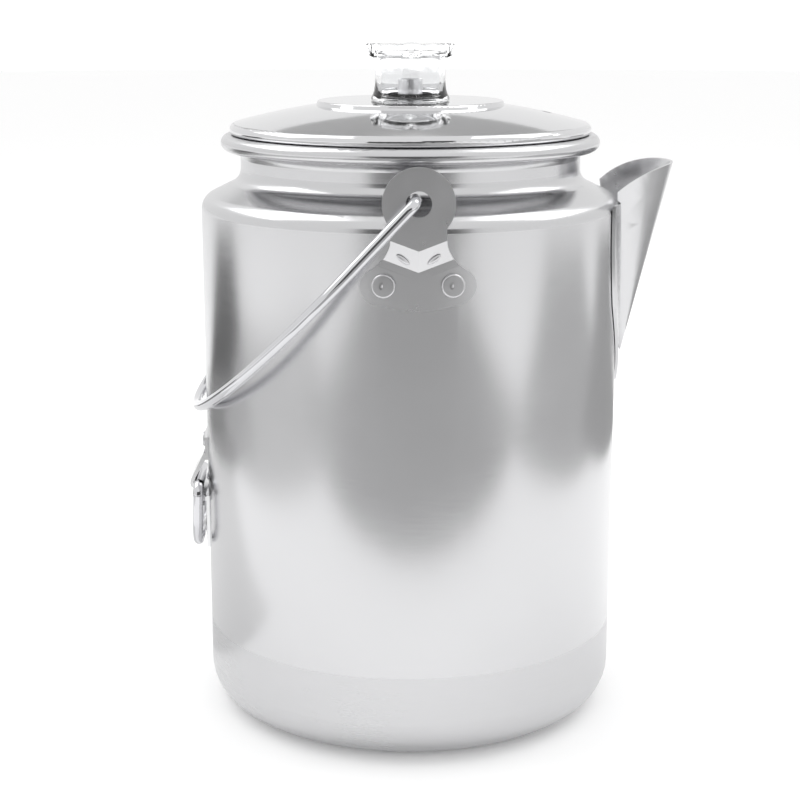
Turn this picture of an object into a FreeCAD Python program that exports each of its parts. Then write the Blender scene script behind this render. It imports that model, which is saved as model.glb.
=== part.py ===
"""Coffee percolator: spun aluminium pot with a wire bail, shield spout, tilt ring,
lift-off lid with a clear knob, and a pump, basket and spreader inside.

Frame: origin at the centre of the base, +Z up, +X towards the spout, Y along the bail pivots.
"""

import FreeCAD, Part
import math
import os

import Sketcher
from FreeCAD import Placement, Rotation, Vector

PARTS_FOLDER = "parts"

EAR_SIDES = {"ear_near": 0, "ear_far": 180}
PERFORATION_RINGS = ((16.0, 8), (27.0, 14), (38.0, 20), (49.0, 26))

DIMENSIONS = {
    # pot
    "pot_radius": 88.0,
    "pot_sheet": 1.6,
    "base_corner": 17.0,
    "wall_top": 215.8,
    "shoulder_bend": 7.0,
    "shoulder_slope": 26.0,
    "neck_radius": 71.3,
    "neck_fillet": 7.0,
    "bead_radius": 3.3,
    "bead_centre": 76.1,
    "bead_height": 243.3,
    "strainer_hole": 2.0,
    # spout
    "spout_sheet": 1.2,
    "spout_apex_reach": 91.2,
    "spout_apex_height": 152.9,
    "spout_lean": 6.93,
    "spout_half_angle": 20.5,
    "spout_length": 95.0,
    "mouth_root_reach": 85.2,
    "mouth_root": 225.0,
    "mouth_tip": 234.7,
    "mouth_tip_reach": 110.9,
    "shield_top": 219.5,
    "shield_point": 139.6,
    "shield_half_width": 35.0,
    "shield_stand_off": 0.25,
    # ears
    "ear_sheet": 1.3,
    "ear_stand_off": 91.0,
    "ear_hole_height": 227.5,
    "ear_hole_radius": 4.95,
    "ear_lobe_radius": 13.85,
    "ear_waist": 21.7,
    "ear_wing": 44.6,
    "ear_bottom": 186.4,
    "joggle_bottom": 201.4,
    "joggle_top": 209.9,
    "joggle_rise": 0.38,
    "ear_rib_length": 6.2,
    "ear_rib_spacing": 11.6,
    "ear_rib_height": 206.6,
    "rivet_height": 196.3,
    "rivet_spacing": 26.0,
    "rivet_head": 4.65,
    "rivet_shank": 2.2,
    # bail
    "bail_wire": 2.25,
    "bail_reach": 131.7,
    "bail_half_span": 95.4,
    "bail_stub_end": 85.8,
    "bail_bend": 4.0,
    "bail_droop": 46.6,
    "bail_pivot_x": -1.1,
    "bail_pivot_height": 228.6,
    # tilt ring and its bracket
    "strap_sheet": 1.3,
    "strap_width": 24.0,
    "strap_top": 118.0,
    "strap_bottom": 69.0,
    "strap_shank": 1.5,
    "strap_head": 3.2,
    "ring_wire": 2.2,
    "ring_bar_reach": 91.3,
    "ring_bar_height": 97.8,
    "ring_width": 36.0,
    "ring_drop": 26.8,
    "ring_lean": 2.2,
    "tunnel_clearance": 0.4,
    # lid
    "lid_sheet": 1.2,
    "lid_roll": 2.5,
    "lid_roll_centre": 73.2,
    "lid_roll_height": 248.7,
    "lid_hole": 13.3,
    "plateau_radius": 38.7,
    "plateau_height": 260.2,
    "plateau_step": 1.9,
    "lid_dome": 300.0,
    "skirt_radius": 69.2,
    "skirt_bottom": 237.5,
    # knob
    "knob_radius": 14.6,
    "knob_wall": 2.2,
    "knob_top": 284.0,
    "knob_lobe": 18.6,
    "knob_flange": 277.4,
    "knob_gap": 0.3,
    # pump
    "stem_radius": 5.2,
    "stem_bore": 4.2,
    "stem_top": 268.8,
    "stem_foot": 14.0,
    "foot_radius": 32.0,
    "foot_height": 17.0,
    "collar_top": 165.0,
    "valve_radius": 6.9,
    # basket and spreader
    "basket_radius": 62.0,
    "basket_sheet": 1.0,
    "basket_floor": 165.3,
    "basket_rim": 228.0,
    "sleeve_bore": 5.9,
    "perforation": 1.5,
}

document = FreeCAD.newDocument("Percolator")
sheet = document.addObject("Spreadsheet::Sheet", "Dimensions")


class Size:
    """A length or an angle that knows its value and its spreadsheet expression."""

    def __init__(self, value, text):
        self.value = value
        self.text = text

    def __add__(self, other):
        other = as_size(other)
        return Size(self.value + other.value, f"({self.text} + {other.text})")

    def __sub__(self, other):
        other = as_size(other)
        return Size(self.value - other.value, f"({self.text} - {other.text})")

    def __mul__(self, other):
        other = as_size(other)
        return Size(self.value * other.value, f"({self.text} * {other.text})")

    def __truediv__(self, other):
        other = as_size(other)
        return Size(self.value / other.value, f"({self.text} / {other.text})")

    def __rsub__(self, other):
        return as_size(other) - self

    def __neg__(self):
        return Size(-self.value, f"(0 - {self.text})")


def as_size(number):
    """Return a Size, wrapping a bare number when it isn't one yet."""
    if isinstance(number, Size):
        return number
    return Size(float(number), f"{float(number):.6f}")


def fill_sheet():
    """Write each driving dimension into its own aliased cell."""
    for row, (alias, value) in enumerate(DIMENSIONS.items(), start=1):
        sheet.set(f"A{row}", alias)
        sheet.set(f"B{row}", str(value))
        sheet.setAlias(f"B{row}", alias)
    document.recompute()


def dim(alias):
    """Return the driving dimension of that name."""
    return Size(float(getattr(sheet, alias)), f"Dimensions.{alias}")


def sine(degrees):
    """Return the sine of an angle in degrees as a Size."""
    return Size(math.sin(math.radians(degrees.value)), f"sin({degrees.text} * 1 deg)")


def cosine(degrees):
    """Return the cosine of an angle in degrees as a Size."""
    return Size(math.cos(math.radians(degrees.value)), f"cos({degrees.text} * 1 deg)")


def tangent(degrees):
    """Return the tangent of an angle in degrees as a Size."""
    return Size(math.tan(math.radians(degrees.value)), f"tan({degrees.text} * 1 deg)")


def bind(target, **sizes):
    """Bind each named property of an object to its expression."""
    for name, size in sizes.items():
        target.setExpression(name, as_size(size).text)


def place(target, x=0, y=0, z=0):
    """Bind the base point of an object's Placement."""
    for axis, size in (("x", x), ("y", y), ("z", z)):
        target.setExpression(f".Placement.Base.{axis}", as_size(size).text)
    return target


# ---------------------------------------------------------------- sketches


def arc_geometry(start, end, radius):
    """Return an arc between two points; a positive radius turns left on the way."""
    if radius < 0:
        return arc_geometry(end, start, -radius)
    chord = end - start
    half = chord.Length / 2
    rise = math.sqrt(max(radius * radius - half * half, 0.0))
    left = Vector(-chord.y, chord.x, 0).normalize()
    centre = start + chord * 0.5 + left * rise
    return Part.Arc(start, centre - left * radius, end)


def run_radius(corner):
    """Return the signed radius of the run that starts at a corner, or None for a straight run."""
    return as_size(corner[2]) if len(corner) > 2 else None


def run_ends(corner):
    """Return the start and end position codes of a run: an arc that turns right is stored backwards."""
    radius = run_radius(corner)
    return (2, 1) if radius and radius.value < 0 else (1, 2)


def trace(sketch, outline, closed=True):
    """Draw an outline of (x, y) or (x, y, radius) corners and constrain all of it.

    A radius makes the run from that corner to the next an arc.
    """
    corners = [(as_size(corner[0]), as_size(corner[1])) for corner in outline]
    points = [Vector(x.value, y.value, 0) for x, y in corners]
    runs = len(outline) if closed else len(outline) - 1
    for index in range(runs):
        after = (index + 1) % len(outline)
        radius = run_radius(outline[index])
        if radius:
            curve = arc_geometry(points[index], points[after], radius.value)
        else:
            curve = Part.LineSegment(points[index], points[after])
        sketch.addGeometry(curve, False)
    for index in range(runs):
        start, end = run_ends(outline[index])
        pin(sketch, index, start, *corners[index])
        if closed or index + 1 < runs:
            after = (index + 1) % runs
            joint = Sketcher.Constraint("Coincident", index, end, after, run_ends(outline[after])[0])
            sketch.addConstraint(joint)
        else:
            pin(sketch, index, end, *corners[index + 1])
        fix_radius(sketch, index, run_radius(outline[index]))
    return sketch


def fix_radius(sketch, index, radius):
    """Bind an arc's radius; a straight run has none."""
    if radius is None:
        return
    if radius.value < 0:
        radius = -radius
    number = sketch.addConstraint(Sketcher.Constraint("Radius", index, radius.value))
    sketch.setExpression(f"Constraints[{number}]", radius.text)


def pin(sketch, geometry, position, x, y):
    """Fix a point's distances from the sketch's origin."""
    for kind, size, axis in (("DistanceX", x, -2), ("DistanceY", y, -1)):
        if abs(size.value) < 1e-9:
            sketch.addConstraint(Sketcher.Constraint("PointOnObject", geometry, position, axis))
            continue
        number = sketch.addConstraint(
            Sketcher.Constraint(kind, -1, 1, geometry, position, size.value))
        sketch.setExpression(f"Constraints[{number}]", size.text)


def circle_sketch(sketch, x, y, radius):
    """Draw a constrained circle."""
    x, y, radius = as_size(x), as_size(y), as_size(radius)
    centre = Vector(x.value, y.value, 0)
    number = sketch.addGeometry(Part.Circle(centre, Vector(0, 0, 1), radius.value), False)
    pin(sketch, number, 3, x, y)
    constraint = sketch.addConstraint(Sketcher.Constraint("Radius", number, radius.value))
    sketch.setExpression(f"Constraints[{constraint}]", radius.text)
    return sketch


def new_body(name):
    """Make an empty PartDesign body."""
    return document.addObject("PartDesign::Body", name)


def add_sketch(body, name, plane):
    """Add a sketch on one of the body's own origin planes."""
    sketch = body.newObject("Sketcher::SketchObject", name)
    origin_plane = next(item for item in body.Origin.OriginFeatures if item.Role == plane)
    sketch.AttachmentSupport = [(origin_plane, "")]
    sketch.MapMode = "FlatFace"
    return sketch


def revolved(name, outline):
    """Revolve an outline of radii and heights about Z."""
    body = new_body(name)
    sketch = trace(add_sketch(body, name + "_profile", "XZ_Plane"), outline)
    turned = body.newObject("PartDesign::Revolution", name + "_turned")
    turned.Profile = sketch
    turned.ReferenceAxis = (sketch, ["V_Axis"])
    turned.Angle = 360.0
    return body


def padded(name, plane, outline, length, reverse=False, midplane=False):
    """Pad an outline by a length."""
    body = new_body(name)
    sketch = trace(add_sketch(body, name + "_outline", plane), outline)
    pad = body.newObject("PartDesign::Pad", name + "_pad")
    pad.Profile = sketch
    pad.Reversed = reverse
    pad.Midplane = midplane
    bind(pad, Length=length)
    return body


def piped(name, path, wire, start_offset):
    """Sweep a round wire along an open path drawn in the XY plane, starting along Y."""
    body = new_body(name)
    spine = trace(add_sketch(body, name + "_path", "XY_Plane"), path, closed=False)
    section = add_sketch(body, name + "_section", "XZ_Plane")
    start_x = as_size(path[0][0])
    circle_sketch(section, start_x, 0, wire)
    section.setExpression(".AttachmentOffset.Base.z", start_offset.text)
    pipe = body.newObject("PartDesign::AdditivePipe", name + "_wire")
    pipe.Profile = section
    pipe.Spine = (spine, [f"Edge{number + 1}" for number in range(len(path) - 1)])
    return body


# ------------------------------------------------------- primitives and booleans


def cylinder(name, radius, height, x=0, y=0, z=0, turn=None):
    """Make a Part cylinder; turn is its Rotation."""
    shape = document.addObject("Part::Cylinder", name)
    bind(shape, Radius=radius, Height=height)
    if turn:
        shape.Placement = Placement(Vector(), turn)
    return place(shape, x, y, z)


def sector(name, radius, height, z, start, angle):
    """Make a wedge of a cylinder about Z, from the start angle on."""
    shape = cylinder(name, radius, height, z=z, turn=Rotation(Vector(0, 0, 1), start))
    shape.Angle = angle
    return shape


def block(name, length, width, height, x, y, z):
    """Make a Part box."""
    shape = document.addObject("Part::Box", name)
    bind(shape, Length=length, Width=width, Height=height)
    return place(shape, x, y, z)


def cut(name, base, tool):
    """Subtract the tool from the base."""
    result = document.addObject("Part::Cut", name)
    result.Base = base
    result.Tool = tool
    return result


def common(name, base, tool):
    """Keep what the base and the tool share."""
    result = document.addObject("Part::Common", name)
    result.Base = base
    result.Tool = tool
    return result


def fuse(name, shapes):
    """Join shapes into one."""
    result = document.addObject("Part::MultiFuse", name)
    result.Shapes = shapes
    return result


def group(name, shapes):
    """Hold separate solids together in one object."""
    result = document.addObject("Part::Compound", name)
    result.Links = shapes
    return result


def tube_shell(name, inner, outer, bottom, height):
    """Make a length of round tube about Z."""
    skin = cylinder(name + "_skin", outer, height, z=bottom)
    core = cylinder(name + "_core", inner, height, z=bottom)
    return cut(name, skin, core)


def finish(node, label):
    """Give a finished sub-part its label."""
    node.Label = label
    return node


def dome_radius(half_width, rise):
    """Return the radius of the sphere that caps a disc with a dome of that rise."""
    half_width, rise = as_size(half_width), as_size(rise)
    return (half_width * half_width + rise * rise) / (rise * 2)


# ---------------------------------------------------------------------- pot


def bead_point(degrees):
    """Return the point of the rolled rim's section at an angle from +X."""
    angle = as_size(degrees)
    radius = dim("bead_radius")
    return dim("bead_centre") + radius * cosine(angle), dim("bead_height") + radius * sine(angle)


def shoulder_corner(inset):
    """Return where the shoulder's slope would meet the neck, drawn in by a thickness."""
    bend = dim("shoulder_bend")
    slope = dim("shoulder_slope")
    turned = as_size(90) - slope
    bend_reach = dim("pot_radius") - bend + bend * cosine(turned)
    bend_height = dim("wall_top") + bend * sine(turned)
    height = bend_height + (bend_reach - dim("neck_radius")) * tangent(slope)
    inset = as_size(inset)
    return dim("neck_radius") - inset, height - inset * (as_size(1) - sine(slope)) / cosine(slope)


def neck_fillet(inset):
    """Return the two ends of the hollow bend between shoulder and neck, lowest first, and its radius."""
    slope = dim("shoulder_slope")
    radius = dim("neck_fillet") + inset
    run = radius * tangent((as_size(90) - slope) / 2)
    corner_x, corner_z = shoulder_corner(inset)
    low = (corner_x + run * cosine(slope), corner_z - run * sine(slope))
    return low, (corner_x, corner_z + run), radius


def pot_skin():
    """Return the outside of the spun pot, from the base up to the top of the rolled rim."""
    radius = dim("pot_radius")
    corner = dim("base_corner")
    bend = dim("shoulder_bend")
    turned = as_size(90) - dim("shoulder_slope")
    wall_top = dim("wall_top")
    bead = dim("bead_radius")
    low, high, fillet = neck_fillet(0.0)
    return [
        (0, 0),
        (radius - corner, 0, corner),
        (radius, corner),
        (radius, wall_top, bend),
        (radius - bend + bend * cosine(turned), wall_top + bend * sine(turned)),
        (*low, -fillet),
        high,
        (dim("neck_radius"), neck_top(), -6.0),
        (*bead_point(225), bead),
        (*bead_point(315), bead),
        (*bead_point(45), bead),
    ]


def neck_top():
    """Return the height at which the neck starts to roll outwards."""
    return dim("bead_height") - 6.3


def pot_outline():
    """Return the section of the spun pot, outside first and then back down inside."""
    radius = dim("pot_radius")
    sheet_metal = dim("pot_sheet")
    corner = dim("base_corner")
    inner_bend = dim("shoulder_bend") - sheet_metal
    turned = as_size(90) - dim("shoulder_slope")
    wall_top = dim("wall_top")
    low, high, fillet = neck_fillet(sheet_metal)
    bend_centre = radius - dim("shoulder_bend")
    return pot_skin() + [
        (*bead_point(170), -8.0),
        (dim("neck_radius") - sheet_metal, neck_top()),
        (*high, fillet),
        low,
        (bend_centre + inner_bend * cosine(turned), wall_top + inner_bend * sine(turned), -inner_bend),
        (radius - sheet_metal, wall_top),
        (radius - sheet_metal, corner, sheet_metal - corner),
        (radius - corner, sheet_metal),
        (0, sheet_metal),
    ]


def strainer_holes():
    """Return the holes that let coffee through the wall into the spout."""
    lowest, pitch, rows = 180.0, 8.0, 5
    drills = []
    for row in range(rows):
        height = lowest + row * pitch
        for step in range(-(row + 2) // 2, (row + 2) // 2 + 1):
            name = f"strainer_{row}_{step + rows}"
            drills.append(cylinder(name, dim("strainer_hole"), 20.0, x=dim("pot_radius") - 10.0,
                                   y=step * pitch * 0.72, z=height,
                                   turn=Rotation(Vector(0, 1, 0), 90)))
    return drills


def radial_drill(name, radius, degrees, height):
    """Return a drill through the wall at an angle round the pot."""
    turn = Rotation(Vector(0, 0, 1), degrees) * Rotation(Vector(0, 1, 0), 90)
    start = dim("pot_radius") - 12.0
    angle = as_size(degrees)
    return cylinder(name, radius, 30.0, x=start * cosine(angle), y=start * sine(angle), z=height,
                    turn=turn)


def ear_rivet_angles():
    """Return the four angles round the pot at which the ears are riveted."""
    offset = math.degrees(math.asin(dim("rivet_spacing").value / 2 / dim("pot_radius").value))
    return [-90 - offset, -90 + offset, 90 - offset, 90 + offset]


def strap_rivet_places():
    """Return (degrees, height) of the bracket's rivets: two below the ring and one above."""
    spread = math.degrees(math.asin(6.0 / dim("pot_radius").value))
    low = dim("strap_bottom") + 9.0
    high = dim("strap_top") - 3.6
    return [(180 - spread, low), (180 + spread, low), (180.0, high)]


def make_pot_body():
    """Spin the pot, then drill the strainer and the rivet holes."""
    shell = revolved("pot_shell", pot_outline())
    drills = strainer_holes()
    for number, degrees in enumerate(ear_rivet_angles()):
        drills.append(radial_drill(f"ear_drill_{number}", dim("rivet_shank"), degrees,
                                   dim("rivet_height")))
    for number, (degrees, height) in enumerate(strap_rivet_places()):
        drills.append(radial_drill(f"strap_drill_{number}", dim("strap_shank"), degrees, height))
    return finish(cut("pot_drilled", shell, group("pot_drills", drills)), "pot_body")


# -------------------------------------------------------------------- spout


def spout_cone(name, inset):
    """Return the leaning cone of the spout, drawn in by a sheet's thickness."""
    half_angle = dim("spout_half_angle")
    length = dim("spout_length")
    cone = document.addObject("Part::Cone", name)
    cone.Radius1 = 0
    bind(cone, Radius2=length * tangent(half_angle), Height=length)
    lean = dim("spout_lean")
    cone.Placement = Placement(Vector(), Rotation(Vector(0, 1, 0), -lean.value))
    shift = as_size(inset) / sine(half_angle)
    return place(cone, dim("spout_apex_reach") - shift * sine(lean), 0,
                 dim("spout_apex_height") + shift * cosine(lean))


def shield_outline():
    """Return the shield flange seen along X: (y, z) corners and arcs."""
    half = dim("shield_half_width")
    top = dim("shield_top")
    point = dim("shield_point")
    waist_half = half * 0.86
    waist_height = point + 37.4
    tip_half = 4.6
    tip_rise = 3.0
    return [
        (0, point, 8.0),
        (tip_half, point + tip_rise, 120.0),
        (waist_half, waist_height, 140.0),
        (half, top),
        (-half, top, 140.0),
        (-waist_half, waist_height, 120.0),
        (-tip_half, point + tip_rise, 8.0),
    ]


def pot_envelope(name):
    """Return the pot's outside as a full solid, for trimming what fits against it."""
    top = bead_point(170)
    return revolved(name, pot_skin() + [top, (0, top[1])])


def make_spout():
    """Fuse the shield and the cone's shell, open the throat and trim the mouth."""
    stand_off = dim("pot_radius") + dim("shield_stand_off")
    plate_height = dim("shield_top") - dim("shield_point") + 4.0
    plate = tube_shell("shield_plate", stand_off, stand_off + dim("spout_sheet"),
                       dim("shield_point") - 2.0, plate_height)
    shape = padded("shield_shape", "YZ_Plane", shield_outline(), 100.0)
    shield = common("shield", plate, shape)
    throat = cylinder("spout_throat", stand_off, 120.0, z=dim("shield_point"))
    cone = cut("spout_outside", spout_cone("spout_skin", 0.0), throat)
    blank = fuse("spout_blank", [shield, cone])
    hollow = cut("spout_hollow", blank, spout_cone("spout_inside", dim("spout_sheet")))
    against = cut("spout_against_pot", hollow, pot_envelope("spout_fit"))
    tip = dim("mouth_tip_reach")
    above = 60.0
    root = dim("mouth_root_reach")
    mouth = padded("mouth_cut", "XZ_Plane", [
        (root - 6.2, dim("mouth_root") - 5.2),
        (root, dim("mouth_root"), -41.0),
        (tip, dim("mouth_tip")),
        (tip + 30.0, dim("mouth_tip")),
        (tip + 30.0, dim("mouth_tip") + above),
        (root - 6.2, dim("mouth_tip") + above),
    ], 120.0, midplane=True)
    return finish(cut("spout_trimmed", against, mouth), "spout")


# --------------------------------------------------------------------- ears


def ear_outline():
    """Return the keyhole outline of an ear seen along Y: (x, z) corners and arcs."""
    lobe = dim("ear_lobe_radius")
    top = dim("ear_hole_height")
    waist = dim("ear_waist") / 2
    wing = dim("ear_wing") / 2
    bottom = dim("ear_bottom")
    lobe_angle = 40.0
    side_x = lobe * cosine(as_size(lobe_angle))
    side_z = top - lobe * sine(as_size(lobe_angle))
    waist_height = 212.0
    return [
        (-wing, dim("rivet_height") - 1.0, 8.0),
        (-wing * 0.62, bottom + 2.2, 46.0),
        (wing * 0.62, bottom + 2.2, 8.0),
        (wing, dim("rivet_height") - 1.0, 7.0),
        (wing * 0.84, dim("rivet_height") + 5.5, -16.0),
        (waist, waist_height, -40.0),
        (side_x, side_z, lobe),
        (0, top + lobe, lobe),
        (-side_x, side_z, -40.0),
        (-waist, waist_height, -16.0),
        (-wing * 0.84, dim("rivet_height") + 5.5, 7.0),
    ]


def ear_strip_outline():
    """Return the joggled upper half of an ear on its centre line: (y, z) corners."""
    sheet_metal = dim("ear_sheet")
    face = dim("ear_stand_off")
    wall = dim("pot_radius")
    low = dim("joggle_bottom")
    high = dim("joggle_top")
    top = dim("ear_hole_height") + dim("ear_lobe_radius") + 1.0
    return [
        (-(wall + sheet_metal), low - 3.0),
        (-wall, low - 3.0),
        (-wall, low + 0.4),
        (-face, high + 0.4),
        (-face, top),
        (-(face + sheet_metal), top),
        (-(face + sheet_metal), high),
        (-(wall + sheet_metal), low),
    ]


def ear_strip_half(name, side):
    """Sweep the joggled strip to one side, rising as it goes, so that both halves fold in a V."""
    half = padded(name, "YZ_Plane", ear_strip_outline(), dim("ear_wing") * 0.55)
    pad = document.getObject(name + "_pad")
    pad.UseCustomVector = True
    pad.Direction = Vector(side, 0, dim("joggle_rise").value)
    return half


def ear_rib(name, side):
    """Make one of the two slanting ribs pressed across the joggle."""
    half_height = 1.1
    half_width = 1.2
    lean_back = 17.0
    slant = 38.0
    rib = document.addObject("Part::Ellipsoid", name)
    bind(rib, Radius1=half_height, Radius2=dim("ear_rib_length") / 2, Radius3=half_width)
    turn = Rotation(Vector(1, 0, 0), lean_back) * Rotation(Vector(0, 1, 0), -slant * side)
    rib.Placement = Placement(Vector(), turn)
    face = dim("pot_radius") + dim("ear_sheet") + half_height
    return place(rib, dim("ear_rib_spacing") / 2 * side, -face, dim("ear_rib_height"))


def make_ear(label, degrees):
    """Form one keyhole ear on the -Y side and turn it to its own side of the pot."""
    wall = dim("pot_radius")
    sheet_metal = dim("ear_sheet")
    wing_shell = tube_shell(label + "_wing", wall, wall + sheet_metal, dim("ear_bottom") - 2.0,
                            dim("joggle_bottom") + 6.0 - dim("ear_bottom"))
    halves = [ear_strip_half(f"{label}_strip_{side + 1}", side) for side in (-1, 1)]
    blank = fuse(label + "_blank", [wing_shell] + halves)
    shape = padded(label + "_shape", "XZ_Plane", ear_outline(), 120.0)
    plate = common(label + "_plate", blank, shape)
    ribs = [ear_rib(f"{label}_rib_{side + 1}", side) for side in (-1, 1)]
    pressed = fuse(label + "_pressed", [plate] + ribs)
    drills = [
        cylinder(label + "_pivot_hole", dim("ear_hole_radius"), 40.0, z=dim("ear_hole_height"),
                 y=-dim("pot_radius") + 20.0, turn=Rotation(Vector(1, 0, 0), 90)),
        cylinder(label + "_wall_room", wall, 240.0),
    ]
    for number, angle in enumerate(ear_rivet_angles()[:2]):
        drills.append(radial_drill(f"{label}_drill_{number}", dim("rivet_shank"), angle,
                                   dim("rivet_height")))
    ear = cut(label + "_drilled", pressed, group(label + "_drills", drills))
    ear.Placement = Placement(Vector(), Rotation(Vector(0, 0, 1), degrees))
    return finish(ear, label)


def rivet(name, outer, shank, head, head_rise, tail_rise):
    """Turn a rivet about Z: tail inside the pot, shank, and a low round-edged head on 'outer'."""
    inner = dim("pot_radius") - dim("pot_sheet")
    tail = shank * 1.6
    edge = head_rise * 0.6
    crown = head_rise * 0.05
    flat = head - edge
    return revolved(name, [
        (0, inner - tail_rise),
        (tail, inner - tail_rise),
        (tail, inner),
        (shank, inner),
        (shank, outer),
        (head, outer),
        (head, outer + (head_rise - edge - crown), edge),
        (flat, outer + (head_rise - crown), dome_radius(flat, crown)),
        (0, outer + head_rise),
    ])


def turn_outward(body, degrees, height):
    """Lay a rivet along the wall's normal at an angle round the pot."""
    turn = Rotation(Vector(0, 0, 1), degrees) * Rotation(Vector(0, 1, 0), 90)
    body.Placement = Placement(Vector(), turn)
    return place(body, z=height)


def make_ear_rivets():
    """Make the four rivets of the two ears."""
    outer = dim("pot_radius") + dim("ear_sheet")
    rivets = []
    for number, degrees in enumerate(ear_rivet_angles()):
        body = rivet(f"ear_rivet_{number}", outer, dim("rivet_shank"), dim("rivet_head"), 1.5, 1.0)
        rivets.append(turn_outward(body, degrees, dim("rivet_height")))
    return finish(group("ear_rivet_group", rivets), "ear_rivets")


# --------------------------------------------------------------------- bail


def make_bail():
    """Bend the bail: stubs through the ears, straight legs and a half-round bow."""
    span = dim("bail_half_span")
    reach = dim("bail_reach")
    bend = dim("bail_bend")
    stub = dim("bail_stub_end")
    leg = -(reach - span)
    path = [
        (0, -stub),
        (0, bend - span, -bend),
        (-bend, -span),
        (leg, -span, -span),
        (-reach, 0, -span),
        (leg, span),
        (-bend, span, -bend),
        (0, span - bend),
        (0, stub),
    ]
    bail = piped("bail_wire", path, dim("bail_wire"), stub)
    droop = dim("bail_droop")
    bail.Placement = Placement(Vector(), Rotation(Vector(0, 1, 0), -droop.value))
    return finish(place(bail, dim("bail_pivot_x"), 0, dim("bail_pivot_height")), "bail")


# ------------------------------------------------------ tilt ring and bracket


def make_tilt_bracket():
    """Form the strap whose tunnel holds the tilt ring's bar."""
    sheet_metal = dim("strap_sheet")
    wall = dim("pot_radius")
    bar_reach = dim("ring_bar_reach")
    bar_height = dim("ring_bar_height")
    tunnel = dim("ring_wire") + dim("tunnel_clearance")
    crest = tunnel + sheet_metal
    half = dim("strap_width") / 2
    flange_low = block("strap_low", 20.0, dim("strap_width"), bar_height - dim("strap_bottom") - 6.0,
                       -(wall + 10.0), -half, dim("strap_bottom"))
    flange_high = block("strap_high", 20.0, dim("strap_width"), 8.0,
                        -(wall + 10.0), -half, dim("strap_top") - 8.0)
    skin = tube_shell("strap_skin", wall, wall + sheet_metal, dim("strap_bottom") - 2.0, 60.0)
    flanges = common("strap_flanges", skin, fuse("strap_flats", [flange_low, flange_high]))
    arch = padded("strap_arch", "XZ_Plane", [
        (-(wall + sheet_metal), dim("strap_top") - 7.0),
        (-(bar_reach + crest * 0.94), bar_height + 1.4, crest),
        (-(bar_reach + crest * 0.94), bar_height - 1.4),
        (-(wall + sheet_metal), bar_height - 8.0),
        (-(wall - 3.0), bar_height - 8.0),
        (-(wall - 3.0), dim("strap_top") - 7.0),
    ], dim("strap_width"), midplane=True)
    void = padded("strap_void", "XZ_Plane", [
        (-(wall - 4.0), dim("strap_top") - 10.0),
        (-(wall + 0.6), dim("strap_top") - 10.0),
        (-(bar_reach + tunnel * 0.94), bar_height + 0.9, tunnel),
        (-(bar_reach + tunnel * 0.94), bar_height - 0.9),
        (-(wall + 0.6), bar_height - 6.4),
        (-(wall - 4.0), bar_height - 6.4),
    ], dim("strap_width") + 4.0, midplane=True)
    strap = fuse("strap_blank", [flanges, cut("strap_tunnel", arch, void)])
    drills = [cylinder("strap_wall_room", wall, 240.0)]
    for number, (degrees, height) in enumerate(strap_rivet_places()):
        drills.append(radial_drill(f"strap_hole_{number}", dim("strap_shank"), degrees, height))
    return finish(cut("strap_drilled", strap, group("strap_drills", drills)), "tilt_bracket")


def make_bracket_rivets():
    """Make the bracket's three small rivets."""
    outer = dim("pot_radius") + dim("strap_sheet")
    rivets = []
    for number, (degrees, height) in enumerate(strap_rivet_places()):
        body = rivet(f"strap_rivet_{number}", outer, dim("strap_shank"), dim("strap_head"), 1.0, 0.9)
        rivets.append(turn_outward(body, degrees, height))
    return finish(group("strap_rivet_group", rivets), "bracket_rivets")


def make_tilt_ring():
    """Bend the closed D of the tilt ring, its bar on the hinge line."""
    half = dim("ring_width") / 2
    drop = dim("ring_drop")
    near_bend = 4.0
    far_bend = 12.0
    path = [
        (0, 0),
        (0, half - near_bend, -near_bend),
        (near_bend, half),
        (drop - far_bend, half, -far_bend),
        (drop, half - far_bend),
        (drop, far_bend - half, -far_bend),
        (drop - far_bend, -half),
        (near_bend, -half, -near_bend),
        (0, near_bend - half),
        (0, 0),
    ]
    body = new_body("ring_wire_body")
    spine = trace(add_sketch(body, "ring_path", "XY_Plane"), path[:-1])
    section = circle_sketch(add_sketch(body, "ring_section", "XZ_Plane"), 0, 0, dim("ring_wire"))
    pipe = body.newObject("PartDesign::AdditivePipe", "ring_pipe")
    pipe.Profile = section
    pipe.Spine = (spine, [f"Edge{number + 1}" for number in range(len(path) - 1)])
    lean = dim("ring_lean")
    body.Placement = Placement(Vector(), Rotation(Vector(0, 1, 0), 90 + lean.value))
    return finish(place(body, -dim("ring_bar_reach"), 0, dim("ring_bar_height")), "tilt_ring")


# ---------------------------------------------------------------------- lid


def roll_point(degrees):
    """Return the point of the lid's rolled edge at an angle from +X."""
    angle = as_size(degrees)
    radius = dim("lid_roll")
    return (dim("lid_roll_centre") + radius * cosine(angle),
            dim("lid_roll_height") + radius * sine(angle))


def lid_outline():
    """Return the lid's section: underside outwards, skirt, rolled edge, then back over the top."""
    sheet_metal = dim("lid_sheet")
    plateau = dim("plateau_radius")
    top = dim("plateau_height")
    skirt = dim("skirt_radius")
    roll = dim("lid_roll")
    step = dim("plateau_step")
    dome = dim("lid_dome")
    return [
        (dim("lid_hole"), top - sheet_metal),
        (plateau - 1.5, top - sheet_metal),
        (plateau - 0.4, top - step - sheet_metal, sheet_metal - dome),
        (skirt - sheet_metal, dim("lid_roll_height") + 2.6),
        (skirt - sheet_metal, dim("skirt_bottom")),
        (skirt, dim("skirt_bottom")),
        (skirt, dim("lid_roll_height") - 1.2),
        (*roll_point(200), roll),
        (*roll_point(290), roll),
        (*roll_point(20), roll),
        (*roll_point(80), dome),
        (plateau + 0.9, top - step),
        (plateau + 0.4, top - 0.8, 0.8),
        (plateau - 0.4, top),
        (dim("lid_hole"), top),
    ]


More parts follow.
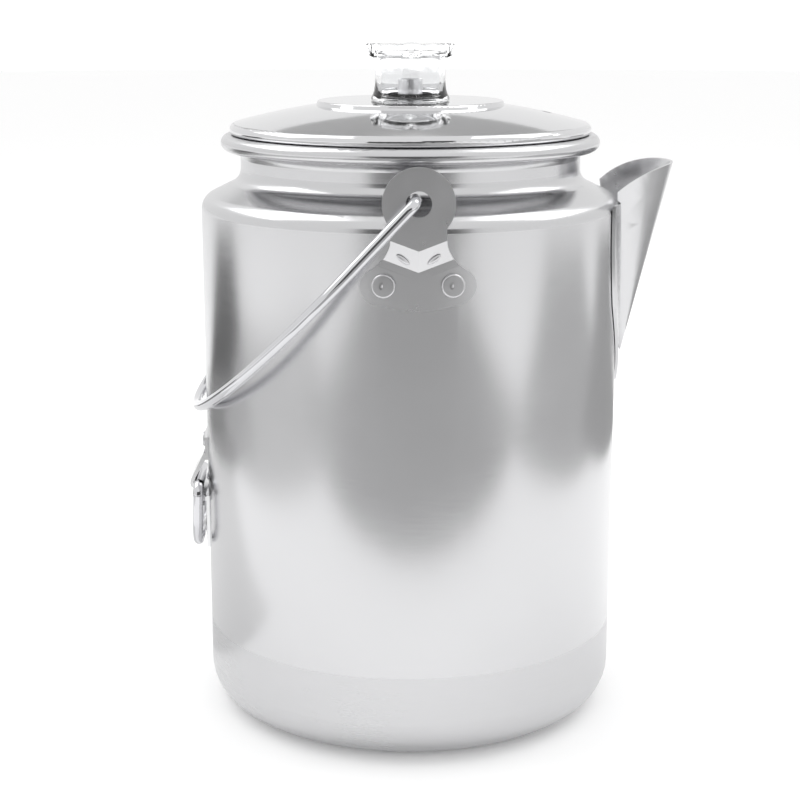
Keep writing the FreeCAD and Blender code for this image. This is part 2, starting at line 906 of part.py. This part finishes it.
def make_lid():
    """Spin the lid, notch its hole for the knob's lugs and press the small dimple."""
    blank = revolved("lid_blank", lid_outline())
    under = dim("plateau_height") - 4.0
    tools = [sector(f"lid_notch_{number}", dim("lid_hole") + 1.9, 8.0, under, start, 42.0)
             for number, start in enumerate((39, 219))]
    dimple = document.addObject("Part::Sphere", "lid_dimple")
    bind(dimple, Radius=9.0)
    tools.append(place(dimple, 59.2, 0, dim("lid_roll_height") + 14.7))
    return finish(cut("lid_pressed", blank, group("lid_tools", tools)), "lid")


# --------------------------------------------------------------------- knob


def knob_outline():
    """Return the clear knob's section: foot, barrel, flange, top and the hollow inside."""
    radius = dim("knob_radius")
    wall = dim("knob_wall")
    seat = dim("plateau_height") + dim("knob_gap")
    top = dim("knob_top")
    lobe = dim("knob_lobe")
    neck = dim("lid_hole") - 0.6
    bore = neck - 1.6
    flange = dim("knob_flange")
    inner = radius - wall
    crown = 0.5
    edge = 0.9
    return [
        (bore, seat - 5.2),
        (neck, seat - 5.2),
        (neck, seat),
        (radius + 1.8, seat),
        (radius + 1.8, seat + 0.7),
        (radius + 0.9, seat + 2.6, -26.0),
        (radius, seat + 10.0),
        (radius, flange - 0.6),
        (lobe, flange + 1.6),
        (lobe, top - crown - edge, edge),
        (lobe - edge, top - crown, dome_radius(lobe - edge, crown)),
        (0, top),
        (0, top - wall - 0.4),
        (inner - 2.4, top - wall - 0.9, -2.4),
        (inner, top - wall - 3.4),
        (inner, seat + 2.6),
        (bore, seat + 0.6),
    ]


def make_knob():
    """Mould the knob, scallop its flange into six lobes and add its two bayonet lugs."""
    blank = revolved("knob_blank", knob_outline())
    scallop = 6.0
    reach = dim("knob_lobe") + 4.1
    cutters = []
    for number in range(6):
        angle = as_size(60.0 * number + 30.0)
        cutters.append(cylinder(f"knob_scallop_{number}", scallop, 12.0, x=reach * cosine(angle),
                                y=reach * sine(angle), z=dim("knob_flange") - 0.5))
    scalloped = cut("knob_scalloped", blank, group("knob_scallops", cutters))
    seat = dim("plateau_height") + dim("knob_gap")
    lug_bottom = seat - 5.2
    wedges = [sector(f"knob_wedge_{number}", dim("lid_hole") + 1.3, 2.2, lug_bottom, start, 30.0)
              for number, start in enumerate((-15, 165))]
    neck = cylinder("knob_lug_core", dim("lid_hole") - 0.6 - 1.0, 12.0,
                    z=lug_bottom - 2.0)
    lugs = cut("knob_lugs", group("knob_wedges", wedges), neck)
    return finish(fuse("knob_moulded", [scalloped, lugs]), "knob")


# --------------------------------------------------------------------- pump


def make_pump_stem():
    """Draw the pump's riser tube."""
    stem = tube_shell("stem_tube", dim("stem_bore"), dim("stem_radius"), dim("stem_foot"),
                      dim("stem_top") - dim("stem_foot"))
    return finish(stem, "pump_stem")


def make_stem_collar():
    """Turn the collar on which the basket rests."""
    stem = dim("stem_radius")
    top = dim("collar_top")
    collar = revolved("collar_turned", [
        (stem, top - 5.0),
        (stem + 1.2, top - 5.0),
        (stem + 3.4, top - 2.0),
        (stem + 3.4, top),
        (stem, top),
    ])
    return finish(collar, "stem_collar")


def make_pump_foot():
    """Spin the flared foot and nick its rim so that water can run under it."""
    stem = dim("stem_radius")
    floor = dim("pot_sheet") + 0.3
    height = dim("foot_height")
    radius = dim("foot_radius")
    bell = revolved("foot_bell", [
        (stem, height),
        (8.6, height, 30.0),
        (radius - 1.2, floor + 0.2),
        (radius - 1.2, floor),
        (radius + 0.6, floor),
        (radius + 0.6, floor + 1.0),
        (radius, floor + 1.0, -30.0),
        (9.2, height + 1.2),
        (stem + 1.1, height + 3.4),
        (stem + 1.1, height + 12.0),
        (stem, height + 12.0),
    ])
    nicks = []
    for number in range(6):
        degrees = 60.0 * number
        turn = Rotation(Vector(0, 0, 1), degrees) * Rotation(Vector(0, 1, 0), 90)
        angle = as_size(degrees)
        nicks.append(cylinder(f"foot_nick_{number}", 3.0, 16.0,
                              x=(radius - 12.0) * cosine(angle),
                              y=(radius - 12.0) * sine(angle), z=floor, turn=turn))
    return finish(cut("foot_nicked", bell, group("foot_nicks", nicks)), "pump_foot")


def make_valve_cage():
    """Turn the cage that holds the loose valve disc under the stem."""
    bore = dim("valve_radius") + 0.5
    height = dim("foot_height")
    cage = revolved("cage_turned", [
        (3.0, height - 8.0),
        (bore + 0.9, height - 8.0),
        (bore + 0.9, height),
        (bore, height),
        (bore, height - 7.0),
        (3.0, height - 7.0),
    ])
    return finish(cage, "valve_cage")


def make_valve_disc():
    """Turn the loose valve disc."""
    disc = cylinder("disc_turned", dim("valve_radius"), 0.8, z=dim("foot_height") - 6.7)
    return finish(disc, "valve_disc")


# ---------------------------------------------------------- basket and spreader


def perforations(name, bottom, rings):
    """Return drills along Z in rings of (radius, count)."""
    drills = []
    for radius, count in rings:
        for step in range(count):
            angle = as_size(360.0 * step / count)
            drills.append(cylinder(f"{name}_{int(radius)}_{step}", dim("perforation"), 6.0,
                                   x=as_size(radius) * cosine(angle),
                                   y=as_size(radius) * sine(angle), z=bottom - 2.5))
    return group(name, drills)


def make_basket():
    """Draw the coffee basket and pierce its floor."""
    radius = dim("basket_radius")
    sheet_metal = dim("basket_sheet")
    floor = dim("basket_floor")
    rim = dim("basket_rim")
    sleeve = dim("sleeve_bore") + 1.0
    corner = 6.0
    cup = revolved("basket_cup", [
        (sleeve, floor),
        (radius - corner, floor, corner),
        (radius, floor + corner),
        (radius, rim - 2.0),
        (radius + 1.2, rim - 2.0),
        (radius + 1.2, rim),
        (radius - sheet_metal, rim),
        (radius - sheet_metal, floor + corner, sheet_metal - corner),
        (radius - corner, floor + sheet_metal),
        (sleeve, floor + sheet_metal),
    ])
    holes = perforations("basket_holes", floor, PERFORATION_RINGS)
    return finish(cut("basket_pierced", cup, holes), "basket")


def make_basket_sleeve():
    """Draw the basket's centre tube, which slides on the stem."""
    bore = dim("sleeve_bore")
    bottom = dim("basket_floor")
    sleeve = tube_shell("sleeve_tube", bore, bore + 1.0, bottom, dim("basket_rim") + 3.0 - bottom)
    return finish(sleeve, "basket_sleeve")


def make_spreader():
    """Press the pierced spreader that covers the basket."""
    bore = dim("sleeve_bore") + 1.6
    radius = dim("basket_radius") + 0.8
    seat = dim("basket_rim") + 0.3
    sheet_metal = dim("basket_sheet")
    locate = dim("basket_radius") - sheet_metal - 0.5
    plate = revolved("spreader_plate", [
        (bore, seat),
        (locate - sheet_metal, seat),
        (locate - sheet_metal, seat - 3.0),
        (locate, seat - 3.0),
        (locate, seat),
        (radius, seat),
        (radius, seat + sheet_metal),
        (bore + sheet_metal, seat + sheet_metal),
        (bore + sheet_metal, seat + 3.2),
        (bore, seat + 3.2),
    ])
    holes = perforations("spreader_holes", seat, PERFORATION_RINGS)
    return finish(cut("spreader_pierced", plate, holes), "spreader")


# -------------------------------------------------------------------- build


def make_all():
    """Build every sub-part."""
    parts = [
        make_pot_body(),
        make_spout(),
        make_ear_rivets(),
        make_bail(),
        make_tilt_bracket(),
        make_bracket_rivets(),
        make_tilt_ring(),
        make_lid(),
        make_knob(),
        make_pump_stem(),
        make_stem_collar(),
        make_pump_foot(),
        make_valve_cage(),
        make_valve_disc(),
        make_basket(),
        make_basket_sleeve(),
        make_spreader(),
    ]
    parts += [make_ear(label, degrees) for label, degrees in EAR_SIDES.items()]
    return parts


def check_document(parts):
    """Stop if any object failed or any sub-part isn't a valid solid."""
    failed = [item.Name for item in document.Objects
              if "Invalid" in item.State or "Error" in item.State]
    if failed:
        raise RuntimeError(f"objects failed: {failed}")
    for part in parts:
        shape = part.Shape
        if shape.isNull() or not shape.isValid() or not shape.Solids:
            raise RuntimeError(f"{part.Label} has no valid shape")
        print(f"{part.Label:16s} solids {len(shape.Solids)} volume {shape.Volume / 1000:8.2f} cm3 "
              f"z {shape.BoundBox.ZMin:7.2f} to {shape.BoundBox.ZMax:7.2f}")


def export(parts):
    """Write one STEP file for each sub-part."""
    os.makedirs(PARTS_FOLDER, exist_ok=True)
    for part in parts:
        part.Shape.exportStep(f"{PARTS_FOLDER}/{part.Label}.step")


fill_sheet()
sub_parts = make_all()
document.recompute()
check_document(sub_parts)
export(sub_parts)
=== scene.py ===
"""Looks for the coffee percolator: brushed pot, polished fittings, clear knob, white studio."""

import math

import bpy
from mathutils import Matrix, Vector


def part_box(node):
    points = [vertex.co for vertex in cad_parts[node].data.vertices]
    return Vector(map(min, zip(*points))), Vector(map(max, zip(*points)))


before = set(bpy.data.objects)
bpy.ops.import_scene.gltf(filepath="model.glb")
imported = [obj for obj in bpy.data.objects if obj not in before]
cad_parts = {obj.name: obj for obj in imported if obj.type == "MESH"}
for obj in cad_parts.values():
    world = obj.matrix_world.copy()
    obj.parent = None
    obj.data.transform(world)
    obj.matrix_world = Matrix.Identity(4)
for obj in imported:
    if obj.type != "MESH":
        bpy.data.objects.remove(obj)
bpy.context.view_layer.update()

POT_LOW, POT_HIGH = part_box("pot_body")
POT_RADIUS = (POT_HIGH.x - POT_LOW.x) / 2
POT_TOP = POT_HIGH.z

# Camera: places in pot radii, angles in degrees, lens and sensor in mm.
CAMERA_AZIMUTH = -1.7
CAMERA_ELEVATION = 13.3
CAMERA_BACK = 8.467
CAMERA_SIDE = -0.049
CAMERA_HEIGHT = 3.491
CAMERA_LENS = 79.1
CAMERA_SENSOR = 36.0

# Metal finishes, in metres unless they are ratios.
CREVICE_REACH = 0.006       # how near another face makes a crevice
CREVICE_PAINTED_SHADE = 0.12        # painted shade: what is left of the colour deep in a crevice
SHADED_PART = 0.93          # the darkest cloud in a metal's colour
LATHE_LINES = (3.0, 1500.0)  # noise cells round and along a turned piece
LATHE_SHARE = 0.4           # how much of the gloss follows the lathe lines
FOOT_BAND_TOP = 0.038       # top of the band round the pot's foot, buffed coarser and darkened as painted shade
FOOT_BAND_EDGE = 0.0012
BUFFED_ROUGHNESS = 0.1
# Painted shade: how far the colour darkens in the band round the pot's foot.
FOOT_PAINTED_SHADE = 0.25
SCRATCH_DEPTH = 0.00003
HAIRLINES = (2400.0, 2400.0, 120.0)  # noise cells across and along the scratches
HAIRLINE_TURN = (0.3, 0.5, 0.0)

# Clear plastic.
PLASTIC_COLOUR = (0.91, 0.915, 0.92)
PLASTIC_IOR = 1.46
PLASTIC_FLOW_DEPTH = 0.0003

# Studio, in metres and watts.
FLOOR_SIZE = 12.0
FLOOR_GAP = 0.0002
FLOOR_GREY = 0.93
FLOOR_ROUGHNESS = 0.8
FLOOR_GLOW = 0.12
BACKDROP_SIDES = 48
BACKDROP_REACH = 6.0
BACKDROP_HEIGHT = 7.0
BACKDROP_GLOW = 0.965
ROOM_BRIGHTNESS = 0.93
CARD_ROUGHNESS = 0.9

# Cards that the metal reflects: name, grey, width, depth, azimuth from the front, distance,
# height and tilt. A flat card lies just over the floor, and a tilt of 90 stands it up.
ON_FLOOR = 0.002
CARDS = (
    ("front_card", 0.42, 1.1, 1.15, 0.0, 0.925, ON_FLOOR, 0.0),
    ("left_card", 0.08, 0.55, 1.1, -120.0, 1.0, ON_FLOOR, 0.0),
    ("right_card", 0.32, 0.5, 1.1, 128.0, 1.0, ON_FLOOR, 0.0),
    ("side_card", 0.45, 0.7, 1.0, 88.0, 0.95, ON_FLOOR, 0.0),
    ("near_left_card", 0.58, 0.8, 0.5, -78.0, 0.68, ON_FLOOR, 0.0),
    ("high_card", 0.42, 1.3, 0.42, 180.0, 1.5, 1.11, 90.0),
    ("standing_card", 0.08, 1.5, 0.7, 0.0, 1.4, 0.40, 90.0),
    ("low_left_card", 0.75, 0.4, 0.6, -135.0, 0.4, ON_FLOOR, 0.0),
)

# Soft lights: name, power, size and place.
LIGHTS = (
    ("key", 6.5, 1.1, (-0.87, 0.3, 1.3)),
    ("fill", 5.5, 1.0, (0.89, 0.22, 1.3)),
)


# ------------------------------------------------------------------ materials


class Nodes:
    """A material's node tree with short ways to add and join nodes."""

    def __init__(self, name):
        self.material = bpy.data.materials.new(name)
        self.material.use_nodes = True
        self.tree = self.material.node_tree
        self.shader = self.tree.nodes["Principled BSDF"]

    def add(self, kind, **settings):
        """Add a node; a setting is a property, or an input when its name starts with 'in_'."""
        node = self.tree.nodes.new(kind)
        for name, value in settings.items():
            if name.startswith("in_"):
                node.inputs[name[3:].replace("_", " ")].default_value = value
            else:
                setattr(node, name, value)
        return node

    def join(self, source, target):
        """Link an output socket to an input socket."""
        self.tree.links.new(source, target)

    def math(self, operation, first, second=None):
        """Add a math node; each operand is a socket or a number."""
        node = self.tree.nodes.new("ShaderNodeMath")
        node.operation = operation
        for index, operand in enumerate((first, second)):
            if operand is None:
                continue
            if isinstance(operand, (int, float)):
                node.inputs[index].default_value = operand
            else:
                self.join(operand, node.inputs[index])
        return node.outputs[0]

    def spread(self, value, low, high, to_low, to_high):
        """Map a value's range to another range."""
        node = self.tree.nodes.new("ShaderNodeMapRange")
        for index, number in enumerate((low, high, to_low, to_high), start=1):
            node.inputs[index].default_value = number
        self.join(value, node.inputs[0])
        return node.outputs[0]

    def ramp(self, value, stops):
        """Map a value to colours at (place, colour) stops."""
        node = self.tree.nodes.new("ShaderNodeValToRGB")
        elements = node.color_ramp.elements
        while len(elements) < len(stops):
            elements.new(0.5)
        for element, (place, colour) in zip(elements, stops):
            element.position = place
            element.color = (*colour, 1.0)
        self.join(value, node.inputs[0])
        return node.outputs[0]


def turned_coordinates(nodes, around, along):
    """Coordinates that run round the Z axis, so that noise in them makes lathe lines.

    The height above the base comes with them.
    """
    place = nodes.add("ShaderNodeTexCoord").outputs["Object"]
    split = nodes.add("ShaderNodeSeparateXYZ")
    nodes.join(place, split.inputs[0])
    x, y, z = split.outputs
    radius = nodes.math("SQRT", nodes.math("ADD", nodes.math("MULTIPLY", x, x),
                                           nodes.math("MULTIPLY", y, y)))
    angle = nodes.math("ARCTAN2", y, x)
    merge = nodes.add("ShaderNodeCombineXYZ")
    nodes.join(nodes.math("MULTIPLY", angle, around), merge.inputs[0])
    nodes.join(nodes.math("MULTIPLY", z, along), merge.inputs[1])
    nodes.join(nodes.math("MULTIPLY", radius, along), merge.inputs[2])
    return merge.outputs[0], z


def noise(nodes, coordinates, scale, detail=3.0, roughness=0.6):
    """Add a noise texture and return its value."""
    node = nodes.add("ShaderNodeTexNoise", in_Scale=scale, in_Detail=detail, in_Roughness=roughness)
    nodes.join(coordinates, node.inputs["Vector"])
    return node.outputs[0]


def bump(nodes, height, strength, distance):
    """Feed a height into the shader's normal."""
    node = nodes.add("ShaderNodeBump", in_Strength=strength, in_Distance=distance)
    nodes.join(height, node.inputs["Height"])
    nodes.join(node.outputs[0], nodes.shader.inputs["Normal"])


def base_metal(name):
    """Start a material with a metal's shading."""
    nodes = Nodes(name)
    nodes.shader.inputs["Metallic"].default_value = 1.0
    return nodes


def tone_metal(nodes, colour, shade):
    """Colour a metal from a cloudy value, and paint shade into its crevices."""
    shaded = [channel * SHADED_PART for channel in colour]
    tone = nodes.ramp(shade, ((0.2, shaded), (0.7, colour)))
    # Painted shade: ambient occlusion within the part darkens the colour in its crevices.
    hollow = nodes.add("ShaderNodeAmbientOcclusion", samples=8, only_local=True,
                       in_Distance=CREVICE_REACH)
    painted_crevice_shade = nodes.ramp(hollow.outputs["AO"], ((0.30, [CREVICE_PAINTED_SHADE] * 3), (0.68, (1.0, 1.0, 1.0))))
    mix = nodes.add("ShaderNodeMix", data_type="RGBA", blend_type="MULTIPLY")
    mix.inputs[0].default_value = 1.0
    nodes.join(tone, mix.inputs[6])
    nodes.join(painted_crevice_shade, mix.inputs[7])
    nodes.join(mix.outputs[2], nodes.shader.inputs["Base Color"])


def spun_metal(name, colour, smooth, rough, line_strength, stretch=0.0, band_top=0.0):
    """Metal finished on a lathe: fine lines run round the Z axis, with faint clouding.

    Below band_top the metal is buffed a little coarser, and its colour is darkened there as painted
    shade.
    """
    nodes = base_metal(name)
    lines, height = turned_coordinates(nodes, *LATHE_LINES)
    fine = noise(nodes, lines, 2.0, detail=3.0, roughness=0.6)
    clouds = noise(nodes, nodes.add("ShaderNodeTexCoord").outputs["Object"], 14.0, detail=3.0)
    mixed = nodes.math("ADD", nodes.math("MULTIPLY", fine, LATHE_SHARE),
                       nodes.math("MULTIPLY", clouds, 1.0 - LATHE_SHARE))
    band = nodes.spread(height, band_top - FOOT_BAND_EDGE, band_top, 1.0, 0.0)
    gloss = nodes.spread(mixed, 0.3, 0.7, smooth, rough)
    nodes.join(nodes.math("ADD", gloss, nodes.math("MULTIPLY", band, BUFFED_ROUGHNESS)),
               nodes.shader.inputs["Roughness"])
    # Painted shade: the colour is darkened in the band round the pot's foot.
    shade = nodes.math("SUBTRACT", mixed, nodes.math("MULTIPLY", band, FOOT_PAINTED_SHADE))
    tone_metal(nodes, colour, shade)
    nodes.shader.inputs["Anisotropic"].default_value = stretch
    bump(nodes, fine, line_strength, SCRATCH_DEPTH)
    return nodes


def polished_metal(name, colour, smooth, rough, scratch_strength):
    """Bright rolled or pressed metal with random hairline scratches."""
    nodes = base_metal(name)
    place = nodes.add("ShaderNodeTexCoord").outputs["Object"]
    clouds = noise(nodes, place, 30.0, detail=4.0)
    nodes.join(nodes.spread(clouds, 0.35, 0.65, smooth, rough), nodes.shader.inputs["Roughness"])
    tone_metal(nodes, colour, clouds)
    stretch = nodes.add("ShaderNodeMapping")
    stretch.inputs["Scale"].default_value = HAIRLINES
    stretch.inputs["Rotation"].default_value = HAIRLINE_TURN
    nodes.join(place, stretch.inputs["Vector"])
    bump(nodes, noise(nodes, stretch.outputs[0], 1.0), scratch_strength, SCRATCH_DEPTH)
    return nodes


def clear_plastic(name):
    """Clear moulded plastic with faint flow lines."""
    nodes = Nodes(name)
    shader = nodes.shader
    shader.inputs["Base Color"].default_value = (*PLASTIC_COLOUR, 1.0)
    shader.inputs["Transmission Weight"].default_value = 1.0
    shader.inputs["IOR"].default_value = PLASTIC_IOR
    place = nodes.add("ShaderNodeTexCoord").outputs["Object"]
    flow = noise(nodes, place, 90.0, detail=2.0)
    nodes.join(nodes.spread(flow, 0.3, 0.7, 0.015, 0.05), shader.inputs["Roughness"])
    bump(nodes, flow, 0.12, PLASTIC_FLOW_DEPTH)
    return nodes


def paint(material, *names):
    """Give CAD nodes a material."""
    for name in names:
        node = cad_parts[name]
        node.data.materials.clear()
        node.data.materials.append(material.material)


def paint_all():
    """Give every CAD node its finish."""
    paint(spun_metal("satin_aluminium", (0.67, 0.67, 0.68), 0.15, 0.24, 0.15, 0.6, FOOT_BAND_TOP),
          "pot_body")
    paint(polished_metal("spout_aluminium", (0.68, 0.68, 0.69), 0.20, 0.28, 0.06), "spout")
    paint(spun_metal("lid_aluminium", (0.74, 0.74, 0.75), 0.05, 0.10, 0.05), "lid")
    paint(polished_metal("ear_aluminium", (0.72, 0.72, 0.73), 0.26, 0.36, 0.15),
          "ear_near", "ear_far")
    paint(polished_metal("bright_aluminium", (0.80, 0.80, 0.81), 0.12, 0.20, 0.15), "tilt_bracket")
    paint(polished_metal("rivet_aluminium", (0.66, 0.66, 0.67), 0.24, 0.36, 0.3),
          "ear_rivets", "bracket_rivets")
    paint(polished_metal("chromed_wire", (0.70, 0.70, 0.72), 0.04, 0.08, 0.05), "bail", "tilt_ring")
    paint(spun_metal("mill_aluminium", (0.78, 0.78, 0.79), 0.26, 0.40, 0.25),
          "pump_stem", "stem_collar", "pump_foot", "valve_cage", "basket", "basket_sleeve",
          "spreader")
    paint(polished_metal("stainless_disc", (0.70, 0.70, 0.71), 0.16, 0.26, 0.2), "valve_disc")
    paint(clear_plastic("clear_plastic"), "knob")


# --------------------------------------------------------------------- studio


def plane(name, width, depth, location, rotation=(0, 0, 0)):
    """Make a rectangle that belongs to the stage."""
    half_width, half_depth = width / 2, depth / 2
    mesh = bpy.data.meshes.new(name)
    corners = [(-half_width, -half_depth, 0), (half_width, -half_depth, 0),
               (half_width, half_depth, 0), (-half_width, half_depth, 0)]
    mesh.from_pydata(corners, [], [(0, 1, 2, 3)])
    item = bpy.data.objects.new(name, mesh)
    bpy.context.collection.objects.link(item)
    item.location = location
    item.rotation_euler = rotation
    return item


def plain(name, colour, roughness, glow=0.0):
    """A plain material for the stage."""
    nodes = Nodes(name)
    nodes.shader.inputs["Base Color"].default_value = (*colour, 1.0)
    nodes.shader.inputs["Roughness"].default_value = roughness
    if glow:
        nodes.shader.inputs["Emission Color"].default_value = (*colour, 1.0)
        nodes.shader.inputs["Emission Strength"].default_value = glow
    return nodes.material


def area_light(name, power, size, location, target):
    """Add a soft square light that looks at a target."""
    data = bpy.data.lights.new(name, "AREA")
    data.energy = power
    data.size = size
    light = bpy.data.objects.new(name, data)
    bpy.context.collection.objects.link(light)
    light.location = location
    light.rotation_mode = "QUATERNION"
    light.rotation_quaternion = (Vector(target) - Vector(location)).to_track_quat("-Z", "Y")


def card(name, grey, width, depth, azimuth, distance, height, tilt):
    """Place a grey card that only reflections show, at an azimuth from the front."""
    angle = math.radians(azimuth)
    place = (distance * math.sin(angle), -distance * math.cos(angle), height)
    item = plane(name, width, depth, place, (math.radians(tilt), 0, angle))
    item.data.materials.append(plain(name, (grey, grey, grey), CARD_ROUGHNESS))
    item.visible_camera = False
    item.visible_shadow = False
    item.visible_diffuse = False


def backdrop():
    """Stand a white wall round the stage, seen by the camera only."""
    sides = BACKDROP_SIDES
    turns = [math.tau * step / sides for step in range(sides)]
    ring = [(BACKDROP_REACH * math.cos(turn), BACKDROP_REACH * math.sin(turn)) for turn in turns]
    corners = [(x, y, 0) for x, y in ring] + [(x, y, BACKDROP_HEIGHT) for x, y in ring]
    faces = [(step, (step + 1) % sides, sides + (step + 1) % sides, sides + step)
             for step in range(sides)]
    mesh = bpy.data.meshes.new("backdrop")
    mesh.from_pydata(corners, [], faces)
    wall = bpy.data.objects.new("backdrop", mesh)
    bpy.context.collection.objects.link(wall)
    mesh.materials.append(plain("backdrop_white", (1.0, 1.0, 1.0), 1.0, BACKDROP_GLOW))
    wall.visible_glossy = False
    wall.visible_diffuse = False
    wall.visible_shadow = False


def make_studio():
    """Lay the pale floor, light the room white and place the cards and the soft lights."""
    floor = plane("floor", FLOOR_SIZE, FLOOR_SIZE, (0, 0, POT_LOW.z - FLOOR_GAP))
    floor.data.materials.append(plain("floor_white", [FLOOR_GREY] * 3, FLOOR_ROUGHNESS, FLOOR_GLOW))
    backdrop()
    world = bpy.data.worlds.new("room")
    bpy.context.scene.world = world
    world.use_nodes = True
    background = world.node_tree.nodes["Background"]
    background.inputs["Color"].default_value = (1.0, 1.0, 1.0, 1.0)
    background.inputs["Strength"].default_value = ROOM_BRIGHTNESS
    for settings in CARDS:
        card(*settings)
    middle = (0, 0, POT_TOP / 2)
    for name, power, size, place in LIGHTS:
        area_light(name, power, size, place, middle)


def make_camera():
    """Place the camera in front of the ear, a little above the lid."""
    turn = math.radians(CAMERA_AZIMUTH)
    right = Vector((math.cos(turn), math.sin(turn), 0))
    ahead = Vector((-math.sin(turn), math.cos(turn), 0))
    data = bpy.data.cameras.new("camera")
    data.lens = CAMERA_LENS
    data.sensor_width = CAMERA_SENSOR
    camera = bpy.data.objects.new("camera", data)
    bpy.context.collection.objects.link(camera)
    place = right * CAMERA_SIDE - ahead * CAMERA_BACK + Vector((0, 0, CAMERA_HEIGHT))
    camera.location = place * POT_RADIUS
    camera.rotation_euler = (math.radians(90 - CAMERA_ELEVATION), 0, turn)
    bpy.context.scene.camera = camera


def set_view():
    """Show plain colours, without a film curve."""
    bpy.context.scene.view_settings.view_transform = "Standard"
    bpy.context.scene.view_settings.look = "None"


make_camera()
make_studio()
paint_all()
set_view()
